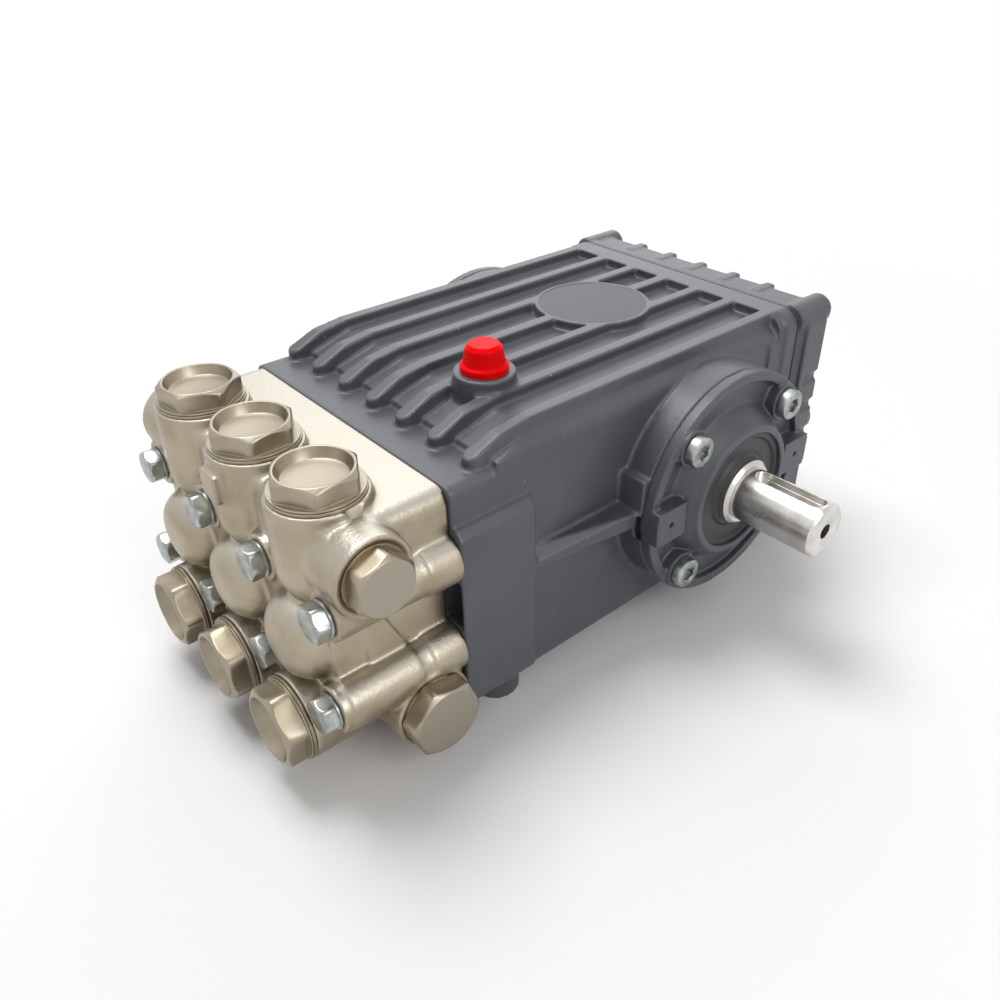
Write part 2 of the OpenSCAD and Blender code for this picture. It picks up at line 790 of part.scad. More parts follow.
module blind_bearing_cover() {
    color("#4d535c")
    translate([-seam_x, shaft_y, shaft_h])
        mirror([1, 0, 0])
            union() {
                cover_plate();
                rotate([0, 90, 0])
                    rotate_extrude()
                        polygon([
                            [0, 0], [hub_r + hub_flare, 0], [hub_r + hub_flare, cover_t - panel_sink],
                            [hub_r, hub_t - 5], [hub_r - 3, hub_t - 3], [0, hub_t - 3]
                        ]);
            }
}

module shaft_seal() {
    color("#1a1a1c")
    translate([hub_x - seal_sink - seal_w, shaft_y, shaft_h])
        rotate([0, 90, 0])
            rotate_extrude()
                polygon([
                    [collar_r + run_gap, 0], [seal_r - spigot_gap, 0], [seal_r - spigot_gap, seal_w],
                    [seal_r - 2.5, seal_w], [seal_r - 3.5, seal_w - 1.2], [collar_r + 3, seal_w - 1.2],
                    [collar_r + 1.5, seal_w], [collar_r + run_gap, seal_w]
                ]);
}

module crankshaft() {
    seal_x = hub_x - seal_sink - seal_w;
    collar_x = hub_x + collar_out;
    color("#c4c6c8")
    translate([0, shaft_y, shaft_h])
        difference() {
            // one turned profile, journal first; it starts under the keyway
            rotate([0, 90, 0])
                rotate([0, 0, 180])
                    rotate_extrude()
                        polygon([
                            [0, seam_x - pocket_l + 1], [journal_r - 1, seam_x - pocket_l + 1],
                            [journal_r, seam_x - pocket_l + 2], [journal_r, seal_x - seal_clear],
                            [collar_r, seal_x - seal_clear], [collar_r, collar_x - collar_step],
                            [collar_r - collar_step, collar_x], [shaft_r, collar_x],
                            [shaft_r, shaft_reach - shaft_chamfer], [shaft_r - shaft_chamfer, shaft_reach],
                            [0, shaft_reach]
                        ]);
            // keyway with round ends
            translate([shaft_reach - key_back - key_w / 2, 0, shaft_r - key_d])
                cylinder(r = key_w / 2, h = key_d + 1);
            translate([shaft_reach - key_back - key_l + key_w / 2, 0, shaft_r - key_d])
                cylinder(r = key_w / 2, h = key_d + 1);
            translate([shaft_reach - key_back - key_l + key_w / 2, -key_w / 2, shaft_r - key_d])
                cube([key_l - key_w, key_w, key_d + 1]);
            x_bar(end_hole_r, shaft_reach - end_hole_l, shaft_reach + 1);
        }
}

// Plunger positions across the pump, counted from the far side
function plunger_x(k) = (k - 2) * plunger_pitch;

// A row of four bolts at height z
module bolt_row(z) {
    for (k = [0 : 3])
        translate([(k - 1.5) * plunger_pitch, 0, z])
            children();
}

// Flat-topped web behind the outer lower bolt
module lower_web() {
    along_y(lower_seat_y + 4, joint_y - flange_l - 6)
        translate([outer_bolt_x, lower_bolt_z]) {
            circle(lobe_r - 0.2);
            translate([-lobe_r, 0])
                square([lobe_r, lobe_r - 0.2]);
        }
}

// Raised field on the side of the waist, with a bevelled back edge, between the two outer bolts
module waist_field() {
    front_y = joint_y - valve_back;
    back_y = joint_y - flange_l - 6;
    along_x(waist_half_w - 1, waist_half_w + waist_field_t)
        polygon([
            [front_y, lower_bolt_z], [front_y, upper_bolt_z], [back_y - waist_field_lean, upper_bolt_z - lobe_r],
            [back_y, lower_bolt_z + lobe_r], [back_y, lower_bolt_z]
        ]);
}

// Upright valve boss: a cylinder with a rounded lower end
module valve_boss() {
    round_z = deck_h - valve_boss_drop;
    rotate_extrude()
        intersection() {
            union() {
                translate([0, round_z])
                    square([valve_boss_r, washer_z - round_z]);
                translate([0, round_z])
                    circle(valve_boss_r);
            }
            translate([0, round_z - valve_boss_r - 1])
                square([valve_boss_r + 1, washer_z - round_z + valve_boss_r + 2]);
        }
}

module manifold() {
    color("#c9bfa8")
    difference() {
        union() {
            // upper block with rounded long edges
            along_y(seat_y + 4, joint_y)
                soft_rect(block_half_w, deck_h - block_h, deck_h, 2, block_edge_r);
            // waist
            translate([-waist_half_w, seat_y + 2, suction_z - 10])
                cube([2 * waist_half_w, block_l - 2, deck_h - block_h - suction_z + 12]);
            // bolt bosses, joint flange lobes and webs
            bolt_row(upper_bolt_z)
                y_bar(bolt_boss_r, seat_y, joint_y);
            bolt_row(lower_bolt_z)
                y_bar(bolt_boss_r, lower_seat_y, joint_y);
            for (s = [-1, 1])
                translate([s * plunger_pitch / 2, 0, lower_bolt_z])
                    y_bar(bolt_boss_r, lower_seat_y - inner_seat_step, lower_seat_y + eps);
            for (z = [upper_bolt_z, lower_bolt_z])
                bolt_row(z)
                    y_bar(lobe_r, joint_y - flange_l, joint_y);
            both_sides() {
                lower_web();
                waist_field();
            }
            // square pad on the middle valve boss
            translate([-valve_pad_w / 2, valve_y - valve_boss_r - valve_pad_rise, valve_pad_z - valve_pad_w / 2])
                cube([valve_pad_w, valve_boss_r, valve_pad_w]);
            // valve bosses and domes
            for (k = [1 : 3]) {
                translate([plunger_x(k), valve_y, 0])
                    valve_boss();
                translate([plunger_x(k), seat_y - dome_proud + dome_r, shaft_h - 2])
                    sphere(r = dome_r);
                translate([plunger_x(k), 0, suction_z])
                    y_bar(suction_boss_r, suction_seat_y, joint_y - 2);
            }
            // galleries across the block
            both_sides()
                translate([0, valve_y, delivery_z])
                    x_bar(delivery_boss_r, plunger_x(3), delivery_half_l);
            translate([0, gallery_y, suction_z])
                x_bar(gallery_r, -suction_half_l, suction_half_l);
        }
        // plugged ends on the drive side, open ports on the far side
        both_sides() {
            translate([0, valve_y, delivery_z]) {
                x_bar(delivery_port_r, delivery_seat_x - port_l, delivery_seat_x + 1);
                x_bar(delivery_spot_r, delivery_seat_x, delivery_half_l + 1);
            }
            translate([0, gallery_y, suction_z]) {
                x_bar(suction_port_r, suction_seat_x - port_l, suction_seat_x + 1);
                x_bar(suction_spot_r, suction_seat_x, suction_half_l + 1);
            }
        }
    }
}

// Hexagon cap on a round foot that stands on z = 0, with a tapered round recess in its face
module valve_cap(h, mouth_r, floor_r, depth) {
    difference() {
        union() {
            cylinder(r = cap_foot_r, h = cap_foot_t);
            hex_prism(cap_af, h, cap_chamfer);
        }
        translate([0, 0, h - depth])
            cylinder(r1 = floor_r, r2 = mouth_r, h = depth + eps);
    }
}

module delivery_cap(k) {
    color("#d2cbb8")
        translate([plunger_x(k), valve_y, washer_z + washer_t])
            rotate([0, 0, delivery_cap_turn[k - 1]])
                valve_cap(cap_h, recess_r, recess_floor_r, recess_d);
}

module delivery_washer(k) {
    color("#c9c4b4")
        translate([plunger_x(k), valve_y, washer_z])
            cylinder(r = washer_r, h = washer_t);
}

module suction_cap(k) {
    color("#d2cbb8")
        translate([plunger_x(k), suction_seat_y - washer_t, suction_z])
            rotate([90, 0, 0])
                rotate([0, 0, suction_cap_turn[k - 1]])
                    valve_cap(suction_cap_h, cone_r, cone_floor_r, cone_d);
}

module suction_washer(k) {
    color("#c9c4b4")
        translate([plunger_x(k), 0, suction_z])
            y_bar(washer_r, suction_seat_y - washer_t, suction_seat_y);
}

// Hexagon plug along +X with its shank in a port of radius port_r
module hex_plug(af, port_r, turn) {
    translate([ring_t, 0, 0])
        rotate([0, 90, 0])
            rotate([0, 0, turn])
                hex_prism(af, plug_head_h, plug_chamfer);
    x_bar(port_r - thread_gap, -plug_shank_l, ring_t + eps);
}

// Flat sealing ring along +X around the shank of a plug
module plug_ring(ring_r, port_r) {
    difference() {
        x_bar(ring_r, 0, ring_t);
        x_bar(port_r, -1, ring_t + 1);
    }
}

module delivery_plug() {
    color("#b9b0a0")
        translate([delivery_seat_x, valve_y, delivery_z])
            hex_plug(upper_plug_af, delivery_port_r, delivery_plug_turn);
}

module delivery_plug_ring() {
    color("#8f8878")
        translate([delivery_seat_x, valve_y, delivery_z])
            plug_ring(delivery_ring_r, delivery_port_r);
}

module suction_plug() {
    color("#b9b0a0")
        translate([suction_seat_x, gallery_y, suction_z])
            hex_plug(lower_plug_af, suction_port_r, suction_plug_turn);
}

module suction_plug_ring() {
    color("#8f8878")
        translate([suction_seat_x, gallery_y, suction_z])
            plug_ring(suction_ring_r, suction_port_r);
}

crankcase();
rear_gasket();
rear_cover();
oil_sight_glass();
drain_plug();
badge_plate();
oil_filler_plug();
drive_bearing_cover();
blind_bearing_cover();
shaft_seal();
crankshaft();
manifold();
delivery_cap(1);  // delivery_cap_1
delivery_cap(2);  // delivery_cap_2
delivery_cap(3);  // delivery_cap_3
delivery_washer(1);  // delivery_washer_1
delivery_washer(2);  // delivery_washer_2
delivery_washer(3);  // delivery_washer_3
suction_cap(1);  // suction_cap_1
suction_cap(2);  // suction_cap_2
suction_cap(3);  // suction_cap_3
suction_washer(1);  // suction_washer_1
suction_washer(2);  // suction_washer_2
suction_washer(3);  // suction_washer_3
delivery_plug();
delivery_plug_ring();
suction_plug();
suction_plug_ring();
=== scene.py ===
import math

import bmesh
import bpy
import numpy as np
from mathutils import Matrix, Quaternion, Vector


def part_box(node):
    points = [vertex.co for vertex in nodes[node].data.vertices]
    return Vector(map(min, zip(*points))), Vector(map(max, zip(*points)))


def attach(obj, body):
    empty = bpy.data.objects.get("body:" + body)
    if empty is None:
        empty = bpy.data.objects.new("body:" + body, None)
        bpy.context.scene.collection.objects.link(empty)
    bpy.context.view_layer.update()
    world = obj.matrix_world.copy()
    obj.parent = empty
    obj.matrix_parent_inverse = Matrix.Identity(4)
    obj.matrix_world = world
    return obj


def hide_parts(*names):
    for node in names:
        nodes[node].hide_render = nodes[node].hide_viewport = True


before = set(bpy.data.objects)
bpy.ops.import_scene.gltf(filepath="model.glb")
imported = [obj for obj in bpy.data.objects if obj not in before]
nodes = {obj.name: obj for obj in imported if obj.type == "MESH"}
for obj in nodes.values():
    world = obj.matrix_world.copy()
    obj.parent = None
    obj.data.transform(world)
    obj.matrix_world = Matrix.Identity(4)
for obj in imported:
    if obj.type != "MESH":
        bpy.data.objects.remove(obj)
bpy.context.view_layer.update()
mm = 0.001

# Camera, close above the drive side of the manifold, looking down along the pump.
# The photograph was taken at about arm's length with a wide lens, so its perspective is steep,
# and the lens is shifted by a few thousandths because the picture was cropped.
camera_place = Vector((0.27914, -0.24472, 0.28524))
turn_left = math.radians(49.44)
look_down = math.radians(33.2)
tilt = math.radians(-0.65)
sensor_mm = 36
lens_mm = 32.51
frame_px = 1000
middle_px = (511.11, 492.71)
near_clip = 10 * mm

forward = Vector((
    -math.sin(turn_left) * math.cos(look_down),
    math.cos(turn_left) * math.cos(look_down),
    -math.sin(look_down),
))
level = forward.cross(Vector((0, 0, 1))).normalized()
upright = level.cross(forward)
side_axis = level * math.cos(tilt) + upright * math.sin(tilt)
up_axis = upright * math.cos(tilt) - level * math.sin(tilt)
camera_data = bpy.data.cameras.new("camera")
camera_data.sensor_width = sensor_mm
camera_data.lens = lens_mm
camera_data.shift_x = (frame_px / 2 - middle_px[0]) / frame_px
camera_data.shift_y = (middle_px[1] - frame_px / 2) / frame_px
camera_data.clip_start = near_clip
camera = bpy.data.objects.new("camera", camera_data)
camera.matrix_world = Matrix((side_axis, up_axis, -forward)).transposed().to_4x4()
camera.location = camera_place
bpy.context.scene.collection.objects.link(camera)
bpy.context.scene.camera = camera
bpy.context.scene.view_settings.view_transform = "Standard"

# Crankcase, a die-cast aluminium box with cooling ribs, sprayed with satin blue-grey paint.
# The mould leaves its edges slightly soft and a small radius in every inner corner, and the
# paint has a fine orange peel, some mottling and a few pale specks where it was knocked.
case_voxel = 0.7 * mm
case_soften = 1
case_fill = 4
case_triangles = 190000
paint_dark = (0.058, 0.063, 0.075, 1)
paint_light = (0.074, 0.08, 0.093, 1)
paint_gloss = 0.7
mottle_size = 30 * mm
peel_size = 1.2 * mm
peel_depth = 0.06 * mm
chip_colour = (0.3, 0.31, 0.32, 1)
chip_size = 2.6 * mm
chip_level = (0.815, 0.83)
patchy = (0.35, 0.65)
weld_gap = 1e-6


class Wire:
    """The output of a node. Sums and products with numbers or other wires add Math nodes."""

    def __init__(self, finish, socket):
        self.finish = finish
        self.socket = socket

    def maths(self, operation, *values):
        return self.finish.node("Math", {"operation": operation}, dict(enumerate(values)))

    def __add__(self, other):
        return self.maths("ADD", self, other)

    def __radd__(self, other):
        return self.maths("ADD", other, self)

    def __sub__(self, other):
        return self.maths("SUBTRACT", self, other)

    def __rsub__(self, other):
        return self.maths("SUBTRACT", other, self)

    def __mul__(self, other):
        return self.maths("MULTIPLY", self, other)

    def __rmul__(self, other):
        return self.maths("MULTIPLY", other, self)

    def between(self, low, high):
        """0 at low, 1 at high and limited to that span."""
        span = {"Value": self, "From Min": low, "From Max": high}
        return self.finish.node("MapRange", {"clamp": True}, span)


class Finish:
    """A node tree being filled: node() adds one node and feed() sets or links one socket."""

    def __init__(self, owner):
        owner.use_nodes = True
        self.owner = owner
        self.tree = owner.node_tree

    def node(self, kind, settings=None, sockets=None, output=0):
        made = self.tree.nodes.new("ShaderNode" + kind)
        for name, value in (settings or {}).items():
            setattr(made, name, value)
        for name, value in (sockets or {}).items():
            self.feed(made.inputs[name], value)
        return Wire(self, made.outputs[output])

    def feed(self, socket, value):
        if isinstance(value, Wire):
            self.tree.links.new(value.socket, socket)
        else:
            socket.default_value = value

    def paint(self, **sockets):
        """Set sockets of the Principled shader."""
        shader = self.tree.nodes["Principled BSDF"]
        for name, value in sockets.items():
            self.feed(shader.inputs[name.replace("_", " ")], value)

    def noise(self, size, detail=3, stretch=(1, 1, 1)):
        """Soft noise with features of about that size, in metres, fixed to the piece."""
        place = self.node("TexCoord", output=3)
        point = self.node("VectorMath", {"operation": "MULTIPLY"}, {0: place, 1: stretch})
        return self.node("TexNoise", None, {"Vector": point, "Scale": 1 / size, "Detail": detail})

    def mix(self, factor, first, second):
        """One colour where factor is 0 and the other where it is 1."""
        return self.node("Mix", {"data_type": "RGBA"}, {0: factor, 6: first, 7: second}, output=2)

    def bump(self, height, depth, edge=0):
        """Normal of a surface that rises by depth with height, with edges rounded over edge metres."""
        sockets = {"Height": height, "Distance": depth, "Strength": 1}
        if edge:
            sockets["Normal"] = self.node("Bevel", {"samples": 6}, {"Radius": edge})
        return self.node("Bump", None, sockets)

    def inner_corner(self, reach):
        """1 in inner corners and hollows narrower than about reach, 0 on open surfaces."""
        return 1 - self.node("AmbientOcclusion", {"samples": 8}, {"Distance": reach}, output=1)

    def facing_up(self, low, high):
        """1 where the surface faces the piece's own +Z, 0 on its sides, by the normal's height."""
        normal = self.node("TexCoord", output=1)
        return self.node("SeparateXYZ", None, {"Vector": normal}, output=2).between(low, high)


def finish_of(name):
    """A new material, ready to be filled."""
    return Finish(bpy.data.materials.new(name))


def combine(piece, operation, others):
    """Cut other objects from a piece with DIFFERENCE, or add them with UNION."""
    for other in others:
        step = piece.modifiers.new(operation.lower(), "BOOLEAN")
        step.operation = operation
        step.solver = "EXACT"
        step.object = other


def cast_skin(node, voxel, soften, fill, most_triangles, cut=(), add=(), shave=None):
    """Replace a CAD node by its casting, on a grid of voxel metres.

    The objects in cut and add are taken off and put on first, and shave moves the points of
    the raw skin. soften passes even out every edge. fill passes, which may only add metal,
    leave the mould's radius in the inner corners.
    """
    low, high = (np.array(corner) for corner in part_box(node))
    for other in add:
        corners = np.array(other.bound_box)
        low, high = np.minimum(low, corners.min(axis=0)), np.maximum(high, corners.max(axis=0))
    piece = bpy.data.objects.new(node + "_casting", nodes[node].data.copy())
    bpy.context.scene.collection.objects.link(piece)
    piece.data.materials.clear()
    form = bmesh.new()
    form.from_mesh(piece.data)
    bmesh.ops.remove_doubles(form, verts=form.verts, dist=weld_gap)
    form.to_mesh(piece.data)
    form.free()
    combine(piece, "DIFFERENCE", cut)
    combine(piece, "UNION", add)
    grid = piece.modifiers.new("grid", "REMESH")
    grid.mode = "VOXEL"
    grid.voxel_size = voxel
    graph = bpy.context.evaluated_depsgraph_get()
    mesh = bpy.data.meshes.new_from_object(piece.evaluated_get(graph))
    piece.modifiers.clear()
    piece.data = mesh

    count = len(mesh.vertices)
    ends = np.empty(2 * len(mesh.edges), dtype=np.int32)
    mesh.edges.foreach_get("vertices", ends)
    ends = ends.reshape(-1, 2)
    here = ends.ravel()
    there = ends[:, ::-1].ravel()
    neighbours = np.bincount(here, minlength=count)[:, None]

    def relaxed(points, passes):
        """The points, each moved halfway to the middle of its neighbours in every pass."""
        for _ in range(passes):
            mean = np.stack(
                [np.bincount(here, points[there, axis], count) for axis in range(3)], axis=1
            ) / neighbours
            points = 0.5 * (points + mean)
        return points

    points = np.empty(3 * count)
    mesh.vertices.foreach_get("co", points)
    points = points.reshape(-1, 3)
    if shave:
        points = shave(points)
    skin = relaxed(points, soften)
    mesh.vertices.foreach_set("co", skin.ravel())
    mesh.update()
    normals = np.empty(3 * count)
    mesh.vertex_normals.foreach_get("vector", normals)
    normals = normals.reshape(-1, 3)
    growth = ((relaxed(skin, fill) - skin) * normals).sum(axis=1)
    skin = relaxed(skin + np.maximum(growth, 0)[:, None] * normals, 1)
    mesh.vertices.foreach_set("co", np.clip(skin, low, high).ravel())
    mesh.update()

    mesh.calc_loop_triangles()
    thin = piece.modifiers.new("fewer faces", "DECIMATE")
    thin.ratio = min(1, most_triangles / len(mesh.loop_triangles))
    graph.update()
    piece.data = bpy.data.meshes.new_from_object(piece.evaluated_get(graph))
    piece.modifiers.clear()
    piece.data.shade_smooth()
    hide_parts(node)
    return piece


def dress(piece, finish, body):
    """Give a piece its material and its moving body."""
    piece.data.materials.clear()
    piece.data.materials.append(finish.owner)
    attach(piece, body)


case_paint = finish_of("case paint")
mottle = case_paint.noise(mottle_size, 4)
peel = case_paint.noise(peel_size, 2)
chips = case_paint.noise(chip_size, 1).between(*chip_level)
case_paint.paint(
    Base_Color=case_paint.mix(
        chips, case_paint.mix(mottle.between(*patchy), paint_dark, paint_light), chip_colour
    ),
    Specular_IOR_Level=paint_gloss,
    Roughness=0.37 + 0.12 * mottle,
    Normal=case_paint.bump(peel, peel_depth),
)
crankcase = cast_skin("crankcase", case_voxel, case_soften, case_fill, case_triangles)
dress(crankcase, case_paint, "pump_body")

# Rear cover and the two bearing covers, smaller castings in the same paint.
# They are bolted on, and the bearing covers carry the bearings on a turned spigot.
cover_voxels = {"rear_cover": 0.8 * mm, "drive_bearing_cover": 0.5 * mm, "blind_bearing_cover": 0.7 * mm}
cover_soften = 1
cover_fill = 5
cover_triangles = 110000

for node, voxel in cover_voxels.items():
    cover = cast_skin(node, voxel, cover_soften, cover_fill, cover_triangles)
    dress(cover, case_paint, "pump_body")

# Cover screws, button heads with a star socket in bright zinc plating. Four hold each bearing
# cover and six hold the rear cover by its ears. On the blind side they sit a little deeper.
zinc_dark = (0.28, 0.3, 0.29, 1)
zinc_light = (0.46, 0.48, 0.465, 1)
film_size = 4 * mm
zinc_grain = 0.7 * mm
zinc_depth = 0.02 * mm
zinc_edge = 0.25 * mm
screw_profile = (
    (6.4 * mm, 0), (6.8 * mm, 0.4 * mm), (6.8 * mm, 3.2 * mm), (6.5 * mm, 4 * mm), (5.9 * mm, 4.4 * mm),
    (4.6 * mm, 4.6 * mm), (3.5 * mm, 4.6 * mm), (3.1 * mm, 4.3 * mm), (3 * mm, 2.2 * mm),
)
socket_rings = 2
socket_lobe = 0.35 * mm
sharp_angle = math.radians(35)
screw_square = 61 * mm
boss_seam = 83 * mm
screw_lug = 7 * mm
blind_screw_sink = 2.7 * mm
shaft_y = 45.4 * mm
shaft_z = 70 * mm
ear_x = 66.5 * mm
ear_heights = (19 * mm, 66 * mm, 123 * mm)
ear_back = 130.8 * mm
ear_bore = 5 * mm
ear_screw = 0.72
cover_turn = 0.4
ear_turn = 0.7


def lathe(name, profile, flats=0, worn=0.12 * mm, round_rings=0, lobe_rings=0, lobe=0, sides=48):
    """A mesh turned about +Z from (radius, height) points.

    After the first round_rings, flats cuts its rings to a hexagon of that width, with edges
    worn round by about worn. The last lobe_rings wave in and out by lobe, as a star socket does.
    """
    form = bmesh.new()
    rings = []
    for index, (radius, height) in enumerate(profile):
        ring = []
        for k in range(sides):
            angle = math.tau * k / sides
            reach = radius
            if flats and index >= round_rings:
                from_flat = (angle + math.pi / 6) % (math.pi / 3) - math.pi / 6
                flat_reach = flats / 2 / math.cos(from_flat)
                closer = min(radius, flat_reach)
                reach = closer - worn * math.log(1 + math.exp(-abs(radius - flat_reach) / worn))
            if index >= len(profile) - lobe_rings:
                reach += lobe * math.cos(6 * angle)
            ring.append(form.verts.new((reach * math.cos(angle), reach * math.sin(angle), height)))
        rings.append(ring)
    for lower, upper in zip(rings, rings[1:]):
        for k in range(sides):
            form.faces.new((lower[k], lower[(k + 1) % sides], upper[(k + 1) % sides], upper[k]))
    form.faces.new(rings[-1])
    form.faces.new(tuple(reversed(rings[0])))
    mesh = bpy.data.meshes.new(name)
    form.to_mesh(mesh)
    form.free()
    mesh.shade_smooth()
    mesh.set_sharp_from_angle(angle=sharp_angle)
    return mesh


def stand(name, mesh, place, outward, turn=0):
    """Put a turned mesh at a place, with its axis pointing outward and turned about it."""
    piece = bpy.data.objects.new(name, mesh)
    piece.location = place
    piece.rotation_mode = "QUATERNION"
    piece.rotation_quaternion = Vector(outward).to_track_quat("Z", "Y") @ Quaternion((0, 0, 1), turn)
    bpy.context.scene.collection.objects.link(piece)
    return piece


zinc = finish_of("zinc plating")
film = zinc.noise(film_size, 3)
zinc.paint(
    Base_Color=zinc.mix(film.between(*patchy), zinc_dark, zinc_light),
    Metallic=1,
    Roughness=0.26 + 0.14 * film,
    Normal=zinc.bump(zinc.noise(zinc_grain, 2), zinc_depth, zinc_edge),
)
for side, cover in ((1, "drive"), (-1, "blind")):
    for index, (turn_y, turn_z) in enumerate(((-1, 1), (1, 1), (1, -1), (-1, -1)), start=1):
        sink = 0 if side > 0 else blind_screw_sink
        place = (
            side * (boss_seam + screw_lug - sink),
            shaft_y + turn_y * screw_square / 2,
            shaft_z + turn_z * screw_square / 2,
        )
        name = f"{cover}_cover_screw_{index}"
        mesh = lathe(name, screw_profile, lobe_rings=socket_rings, lobe=socket_lobe)
        screw = stand(name, mesh, place, (side, 0, 0), cover_turn * index)
        dress(screw, zinc, "pump_body")
for side in (-1, 1):
    for index, height in enumerate(ear_heights, start=1):
        name = f"rear_screw_{'left' if side < 0 else 'right'}_{index}"
        mesh = lathe(name, screw_profile, lobe_rings=socket_rings, lobe=socket_lobe)
        screw = stand(name, mesh, (side * ear_x, ear_back - ear_bore, height), (0, 1, 0), ear_turn * index)
        screw.scale = (ear_screw, ear_screw, ear_screw)
        dress(screw, zinc, "pump_body")

# Manifold, a cast brass block with satin nickel plating that lets the warm brass through.
# Its valve bosses, bolt bosses and domes flow into each other with wide radii. The upper edges
# are rounded, and the lower corners are cut back between the round suction bosses and webs.
manifold_voxel = 0.7 * mm
manifold_soften = 2
manifold_fill = 9
manifold_triangles = 190000
plunger_pitch = 44 * mm
plunger_places = [k * plunger_pitch for k in (-1, 0, 1)]
bolt_upper_z = 88 * mm
bolt_lower_z = 46.5 * mm
seat_upper_y = -144.2 * mm
seat_lower_y = -146.5 * mm
bolt_boss_r = 9.7 * mm
dome_r = 18.6 * mm
dome_y = -138.2 * mm
dome_z = 65.8 * mm
dome_depth = 16 * mm
dome_shoulder = 2 * mm
block_front_y = -140.2 * mm
deck_z = 117 * mm
block_half_w = 68 * mm
block_edge_r = 7 * mm
valve_y = -129 * mm
valve_boss_r = 18.5 * mm
valve_pad_clear = 8 * mm
delivery_z = 102.5 * mm
delivery_boss_r = 15.5 * mm
gallery_y = -110 * mm
gallery_r = 16.5 * mm
suction_z = 30 * mm
suction_boss_r = 17.6 * mm
web_r = 10.3 * mm
gallery_middle_x = 60 * mm
gallery_l = 60 * mm
boss_bar_l = 80 * mm
corner_low = (50 * mm, seat_lower_y - 3 * mm, 8 * mm)
corner_high = (72 * mm, gallery_y, bolt_lower_z)
step_l = 10 * mm
nickel_dark = (0.34, 0.285, 0.208, 1)
nickel_light = (0.45, 0.39, 0.295, 1)
nickel_painted_top_light = (0.46, 0.435, 0.375, 1)
nickel_cloud = 20 * mm
nickel_grain = 1.4 * mm
grain_depth = 0.12 * mm
painted_light_normal_span = (0.3, 0.95)
painted_corner_shade = (0.16, 0.12, 0.075, 1)
painted_corner_shade_share = 0.6
painted_corner_shade_reach = 4 * mm


def form_of(name, build):
    """An object whose mesh is filled by build, for cutting or adding."""
    form = bmesh.new()
    build(form)
    mesh = bpy.data.meshes.new(name)
    form.to_mesh(mesh)
    form.free()
    made = bpy.data.objects.new(name, mesh)
    bpy.context.scene.collection.objects.link(made)
    return made


def bar(name, radius, middle, along, length):
    """A round bar of that length about its middle."""
    turn = Vector(along).to_track_quat("Z", "Y").to_matrix().to_4x4()
    return form_of(name, lambda form: bmesh.ops.create_cone(
        form, cap_ends=True, segments=96, radius1=radius, radius2=radius, depth=length,
        matrix=Matrix.Translation(middle) @ turn,
    ))


def slab(name, low, high):
    """A block between two corners."""
    size = Vector(high) - Vector(low)
    middle = (Vector(high) + Vector(low)) / 2
    return form_of(name, lambda form: bmesh.ops.create_cube(
        form, size=1, matrix=Matrix.Translation(middle) @ Matrix.Diagonal((*size, 1)),
    ))


def dome_in(form, middle_x):
    """A ball whose front is pressed to a soft flat."""
    bmesh.ops.create_icosphere(form, subdivisions=5, radius=dome_r)
    for point in form.verts:
        front = math.exp(point.co.y / dome_shoulder) + math.exp(-dome_depth / dome_shoulder)
        point.co.y = dome_shoulder * math.log(front)
    bmesh.ops.translate(form, verts=form.verts, vec=(middle_x, dome_y, dome_z))


cuts = []
kept = []
for side in (-1, 1):
    gallery_place = (side * gallery_middle_x, gallery_y, suction_z)
    gallery_bar = bar("gallery_bar", gallery_r, gallery_place, (1, 0, 0), gallery_l)
    suction_place = (side * plunger_pitch, valve_y, suction_z)
    suction_bar = bar("suction_bar", suction_boss_r, suction_place, (0, 1, 0), boss_bar_l)
    web_place = (side * 1.5 * plunger_pitch, valve_y, bolt_lower_z)
    web_bar = bar("web_bar", web_r, web_place, (0, 1, 0), boss_bar_l)
    inner_x, outer_x = sorted((side * corner_low[0], side * corner_high[0]))
    lower_corner = slab("lower_corner", (inner_x, *corner_low[1:]), (outer_x, *corner_high[1:]))
    combine(lower_corner, "DIFFERENCE", (suction_bar, gallery_bar, web_bar))
    step_place = (side * plunger_pitch / 2, seat_lower_y - step_l / 2, bolt_lower_z)
    seat_step = bar("seat_step", bolt_boss_r, step_place, (0, 1, 0), step_l)
    kept += [gallery_bar, suction_bar, web_bar]
    cuts += [lower_corner, seat_step]
domes = [form_of("dome", lambda form, x=x: dome_in(form, x)) for x in plunger_places]

nickel = finish_of("plated brass casting")
cloud = nickel.noise(nickel_cloud, 4)
grain = nickel.noise(nickel_grain, 3)
side_colour = nickel.mix(cloud.between(*patchy), nickel_dark, nickel_light)
# Faces turned up, toward the piece's own +Z, get a paler colour of their own: painted top light, as if lit
# from above.
painted_top_light_colour = nickel.mix(nickel.facing_up(*painted_light_normal_span), side_colour, nickel_painted_top_light)
nickel.paint(
    # Inner corners and hollows narrower than the reach are mixed toward a dark brown: painted shade.
    Base_Color=nickel.mix(painted_corner_shade_share * nickel.inner_corner(painted_corner_shade_reach), painted_top_light_colour, painted_corner_shade),
    Metallic=1,
    Roughness=0.3 + 0.1 * cloud + 0.08 * grain,
    Normal=nickel.bump(grain, grain_depth),
)
round_x = block_half_w - block_edge_r
round_y = block_front_y + block_edge_r
round_z = deck_z - block_edge_r
corner_x = 56 * mm
valve_rounds = [((x, valve_y, 0), 2, valve_boss_r) for x in plunger_places]
delivery_round = ((0, valve_y, delivery_z), 0, delivery_boss_r)
front_round = ((0, round_y, round_z), 0, block_edge_r)
side_rounds = [((side * round_x, 0, round_z), 1, block_edge_r) for side in (-1, 1)]


